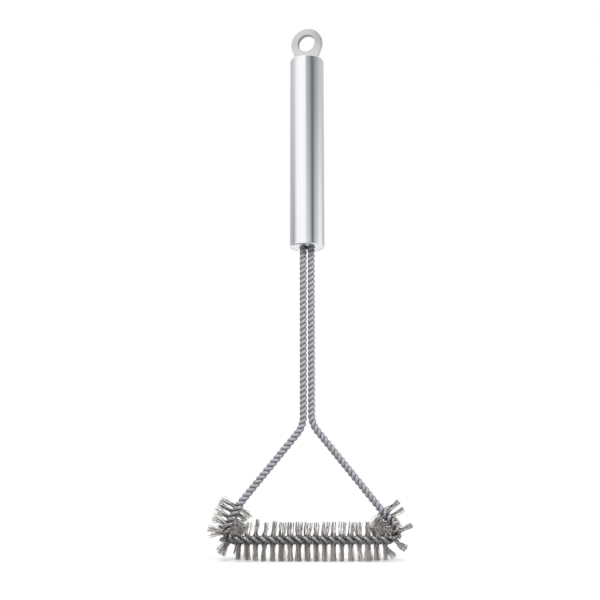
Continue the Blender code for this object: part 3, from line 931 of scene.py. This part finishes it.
def build_base_tufts(material):
    up_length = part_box("bristle_tuft_base_08")[1].z - STEM_Z
    made = []
    for i, (up_lean, up_w, down_lean, down_w, extra_up) in enumerate(BASE):
        up = dict(
            aim=90 - math.degrees(math.atan2(up_lean * MM, up_length)),
            length=up_length + extra_up * MM, width=1.28 * up_w * MM, thick=1.5 * MM,
            fray=0.22, wild=1.3 * MM, short=0.3, ragged=0.08,
            bunches=4 if up_w > 1.6 else 3, curl=0.1 * MM,
        )
        down = dict(
            aim=-90 + math.degrees(math.atan2(down_lean * MM, STEM_Z)),
            length=STEM_Z - SHORT_DOWN.get(i, 0.0) * MM, width=1.12 * down_w * MM,
            thick=1.5 * MM, fray=0.26, wild=1.3 * MM, short=0.2, split=SPLIT_DOWN.get(i, 0.0),
        )
        if i in FRAYED_UP:
            up.update(
                spread=26.0, length=up_length * 0.97, fray=0.5, wild=2.5 * MM,
                thick=2.0 * MM, curl=0.9 * MM, ragged=0.15,
            )
        laps = 0.12 if i in FRAYED_UP else 0.04
        tufts = [dict(seed=100 + i, at=i, out=down, inner=up, count=84, laps=laps)]
        if i == 17:
            # a frayed share of the last tuft points away to the side
            aside = dict(down, aim=-53.0, spread=12.0, width=1.6 * MM, length=14.2 * MM, fray=0.5)
            tufts.append(dict(seed=190, at=i, out=aside, inner=up, count=34, root=0.3))
        if i == 0:
            # a thin share of the first one leans left
            aside = dict(down, aim=-103.0, spread=5.0, width=0.5 * MM, length=9.5 * MM, fray=0.3)
            tufts.append(dict(seed=191, at=-0.3, out=aside, inner=up, count=16, root=0.2))
        made.append(tuft_object("base_%02d" % (i + 1), tufts, material))
    return made


def corner_extras(k, out, inner):
    """Further small tufts beside the corner tuft at crossing k."""
    if k in (-1, -2):
        # more of them on the turn, lapping over the wires
        lap = dict(out, length=6.5 * MM, width=2.2 * MM, spread=28, fray=0.3)
        short = dict(inner, length=9.0 * MM)
        return [dict(seed=393 + k, at=k - 0.5, out=lap, inner=short, count=44, laps=0.6)]
    if k == 19:
        lap = dict(out, length=4.6 * MM, width=2.4 * MM, spread=30, fray=0.3)
        return [
            dict(
                seed=seed, at=at, out=dict(lap, aim=out_aim),
                inner=dict(inner, aim=inner_aim, length=12.0 * MM), count=44, laps=0.95,
            )
            for seed, at, out_aim, inner_aim in RIGHT_TURN
        ]
    if k == 22:
        # a thin strand beside the last tuft
        strand = dict(out, aim=23, length=13.4 * MM, width=0.35 * MM, spread=1.0, fray=0.0)
        short = dict(inner, length=5.0 * MM, spread=12)
        return [dict(seed=392, at=22.7, out=strand, inner=short, count=12, root=0.12)]
    return []


def build_corner_tufts(material):
    made = []
    for row in CORNERS:
        name, k, out_aim, out_length, out_w, out_spread, fray = row[:7]
        inner_aim, inner_length, inner_spread, curl, count = row[7:]
        out = dict(
            aim=out_aim, length=out_length * MM, width=out_w * MM, thick=1.4 * MM,
            spread=out_spread, fray=fray, wild=1.5 * MM, short=0.3,
        )
        inner = dict(
            aim=inner_aim, length=inner_length * MM, width=1.7 * MM, thick=2.3 * MM,
            spread=inner_spread, fray=0.4, wild=1.5 * MM, curl=curl * MM, ragged=0.3, short=0.3,
        )
        laps = 0.15 if k < -3 else 0.4 if k < 0 else 0.75
        main = dict(seed=300 + k, at=k, out=out, inner=inner, count=count, laps=laps)
        made.append(tuft_object(name, [main] + corner_extras(k, out, inner), material))
    return made


def build_bristles():
    material = bristle_material()
    return build_base_tufts(material) + build_corner_tufts(material)


# ---------------------------------------------------------------- light, floor, camera

# The studio as broad panels round the brush: azimuth in degrees from the camera's side (0 is
# straight back at the camera, positive to the right) and 8 bit level. A big softbox stands front
# left with a grey wall beyond it, a dark flag front right, and a second softbox on the right.
LOW = (
    (-180, 205), (-135, 185), (-105, 160), (-65, 245), (-35, 250), (-15, 245), (5, 205),
    (15, 195), (35, 105), (60, 200), (95, 240), (140, 185), (180, 205),
)
# higher up, the right softbox ends and the left one has a harder edge
HIGH = (
    (-180, 205), (-135, 190), (-105, 205), (-70, 245), (-35, 250), (-15, 250), (-5, 180),
    (15, 155), (35, 100), (60, 150), (95, 190), (135, 200), (180, 205),
)
# the floor far from the brush, which the handle shows when it is seen from above
FAR_FLOOR = (
    (-180, 250), (-140, 230), (-105, 165), (-65, 240), (-35, 245), (-15, 240), (5, 200),
    (35, 110), (60, 190), (95, 235), (140, 235), (180, 250),
)
METAL_SHARE = 0.93  # panel colours are divided by this share, which the metal gives back


def bands(nodes, azimuth, table):
    """A table's brightness as a colour, cooler where it is darker. azimuth is in radians."""
    stops = []
    for degrees, level in table:
        cool = (255 - level) / 145.0
        colour = rgb(level - 3.0 * cool, level - 0.5 * cool, level + 5.5 * cool)[:3]
        raised = (*(channel / METAL_SHARE for channel in colour), 1.0)
        stops.append(((degrees + 180.0) / 360.0, raised))
    turn_share = nodes.math("MULTIPLY_ADD", azimuth, 0.5 / math.pi, 0.5)
    return nodes.ramp(turn_share, stops, "EASE")


def azimuth_of(nodes, x, y):
    return nodes.math("ARCTAN2", x, nodes.math("MULTIPLY", y, -1.0))


def build_world():
    """White to the camera, panels to reflections, and an even soft light to the rest."""
    world = bpy.data.worlds.new("studio")
    scene.world = world
    world.use_nodes = True
    nodes = Nodes(world.node_tree)
    out = nodes.new("ShaderNodeOutputWorld")
    ray = nodes.new("ShaderNodeLightPath").outputs
    x, y, z = nodes.split(nodes.new("ShaderNodeTexCoord").outputs["Generated"])
    azimuth = azimuth_of(nodes, x, y)
    elevation = nodes.math("ARCSINE", z)

    def rising(start, end):
        return nodes.span(elevation, over=(math.radians(start), math.radians(end)))

    low, high = bands(nodes, azimuth, LOW), bands(nodes, azimuth, HIGH)
    studio = nodes.mix(rising(15.5, 24.0), low, high)
    # well above and below the handle's reflections the room is an even soft white
    studio = nodes.mix(rising(38, 60), studio, grey(1.0))
    studio = nodes.mix(rising(2, -12), studio, grey(0.95))

    height = nodes.span(z, over=(-1.0, 1.0))
    soft = nodes.ramp(height, [(0.0, grey(0.95)), (0.5, grey(1.0)), (1.0, grey(1.25))])
    light = nodes.mix(ray["Is Glossy Ray"], soft, studio)
    light = nodes.mix(ray["Is Camera Ray"], light, grey(1.0))
    background = nodes.new("ShaderNodeBackground", {"Color": light, "Strength": 1.0})
    nodes.fill(out, {"Surface": background.outputs[0]})


def floor_material():
    """A matte grey floor that shows reflections a brighter and darker pattern of its own."""
    material, nodes, shader = new_material("studio_floor")
    cloud = nodes.new("ShaderNodeTexNoise", {"Scale": 3.0}).outputs["Fac"]
    mottle = nodes.span(cloud, over=(0.0, 1.0))
    nodes.fill(shader, {
        "Base Color": nodes.mix(mottle, grey(0.58), grey(0.60)),
        "Roughness": 1.0,
        "Specular IOR Level": 0.0,
    })
    # what the metal sees of it: dark to the left, dim in front, bright behind and to the right
    x, y, _ = nodes.split(nodes.new("ShaderNodeNewGeometry").outputs["Position"])
    back = nodes.span(y, over=(-0.05, 0.12))
    right = nodes.span(x, over=(0.02, 0.22))
    bright = nodes.math("MAXIMUM", back, right)
    leftward = nodes.math("MULTIPLY", x, -1.0)
    side = nodes.math("MULTIPLY_ADD", nodes.math("ABSOLUTE", y), -1.25, leftward)
    dark = nodes.span(side, over=(-0.02, 0.05))
    seen = nodes.mix(bright, (0.42, 0.425, 0.44, 1), (0.95, 0.955, 0.965, 1))
    seen = nodes.mix(dark, seen, (0.06, 0.065, 0.08, 1))
    far = nodes.span(nodes.radius(x, y), over=(0.28, 0.46))
    seen = nodes.mix(far, seen, bands(nodes, azimuth_of(nodes, x, y), FAR_FLOOR))
    glow = nodes.new("ShaderNodeEmission", {"Color": seen})
    glossy = nodes.new("ShaderNodeLightPath").outputs["Is Glossy Ray"]
    choice = {0: glossy, 1: shader.outputs[0], 2: glow.outputs[0]}
    mixed = nodes.new("ShaderNodeMixShader", choice)
    out = next(node for node in material.node_tree.nodes if node.type == "OUTPUT_MATERIAL")
    nodes.fill(out, {"Surface": mixed.outputs[0]})
    return material


def build_floor():
    mesh = bpy.data.meshes.new("studio_floor")
    half = 3.0
    z = -0.05 * MM
    corners = [(-half, -half, z), (half, -half, z), (half, half, z), (-half, half, z)]
    mesh.from_pydata(corners, [], [(0, 1, 2, 3)])
    mesh.materials.append(floor_material())
    ob = bpy.data.objects.new("studio_floor", mesh)
    scene.collection.objects.link(ob)
    return ob


def receivers(name, objects):
    """A collection of the only objects that a light touches."""
    collection = bpy.data.collections.new(name)
    for ob in objects:
        collection.objects.link(ob)
    return collection


def add_lamp(name, spot, target, size, power, lit):
    """A square area light at spot, facing target."""
    light = bpy.data.lights.new(name, "AREA")
    light.shape = "RECTANGLE"
    light.size = light.size_y = size
    light.energy = power
    ob = bpy.data.objects.new(name, light)
    ob.location = spot
    ob.rotation_euler = (Vector(target) - Vector(spot)).to_track_quat("-Z", "Y").to_euler()
    scene.collection.objects.link(ob)
    ob.light_linking.receiver_collection = lit


def build_lamps(objects):
    """Two lamps for the wires' and bristles' highlights that leave the handle and floor alone."""
    lit = receivers("lit_by_the_lamp", objects)
    add_lamp("lamp_left", (-0.55, -0.75, 0.75), target=(0, 0, 0.1), size=0.35, power=8.0, lit=lit)
    add_lamp("lamp_right", (0.55, -0.75, 0.75), target=(0, 0, 0.05), size=0.30, power=8.0, lit=lit)


def build_low_light(floor):
    """A soft light for the floor alone, low from the front, lays the shadow down behind."""
    ground = receivers("lit_by_the_low_light", [floor])
    sun = bpy.data.lights.new("low_front_light", "SUN")
    sun.energy = 5.0
    sun.angle = math.radians(16.0)
    ob = bpy.data.objects.new("low_front_light", sun)
    ob.rotation_euler = (math.radians(90 - 24), 0, 0)
    scene.collection.objects.link(ob)
    ob.light_linking.receiver_collection = ground


def build_camera():
    """Low in front of the brush, tilted 12 degrees up."""
    camera = bpy.data.cameras.new("camera")
    camera.sensor_width = 36.0
    camera.lens = 61.68
    camera.clip_start = 0.01
    ob = bpy.data.objects.new("camera", camera)
    ob.location = (AXIS_X - 5.3 * MM, -730.0 * MM, 29.0 * MM)
    ob.rotation_euler = (math.radians(90 + 12.0), 0, 0)
    scene.collection.objects.link(ob)
    scene.camera = ob


build_tube()
build_lower_cap()
build_upper_cap()
build_tab()
build_weld_bead()
dress_ferrule()
wires_and_bristles = build_wires() + build_bristles()
build_world()
studio_floor = build_floor()
build_lamps(wires_and_bristles)
build_low_light(studio_floor)
build_camera()

scene.view_settings.view_transform = "Standard"
scene.view_settings.look = "None"
scene.view_settings.exposure = 0.0
scene.view_settings.gamma = 1.0
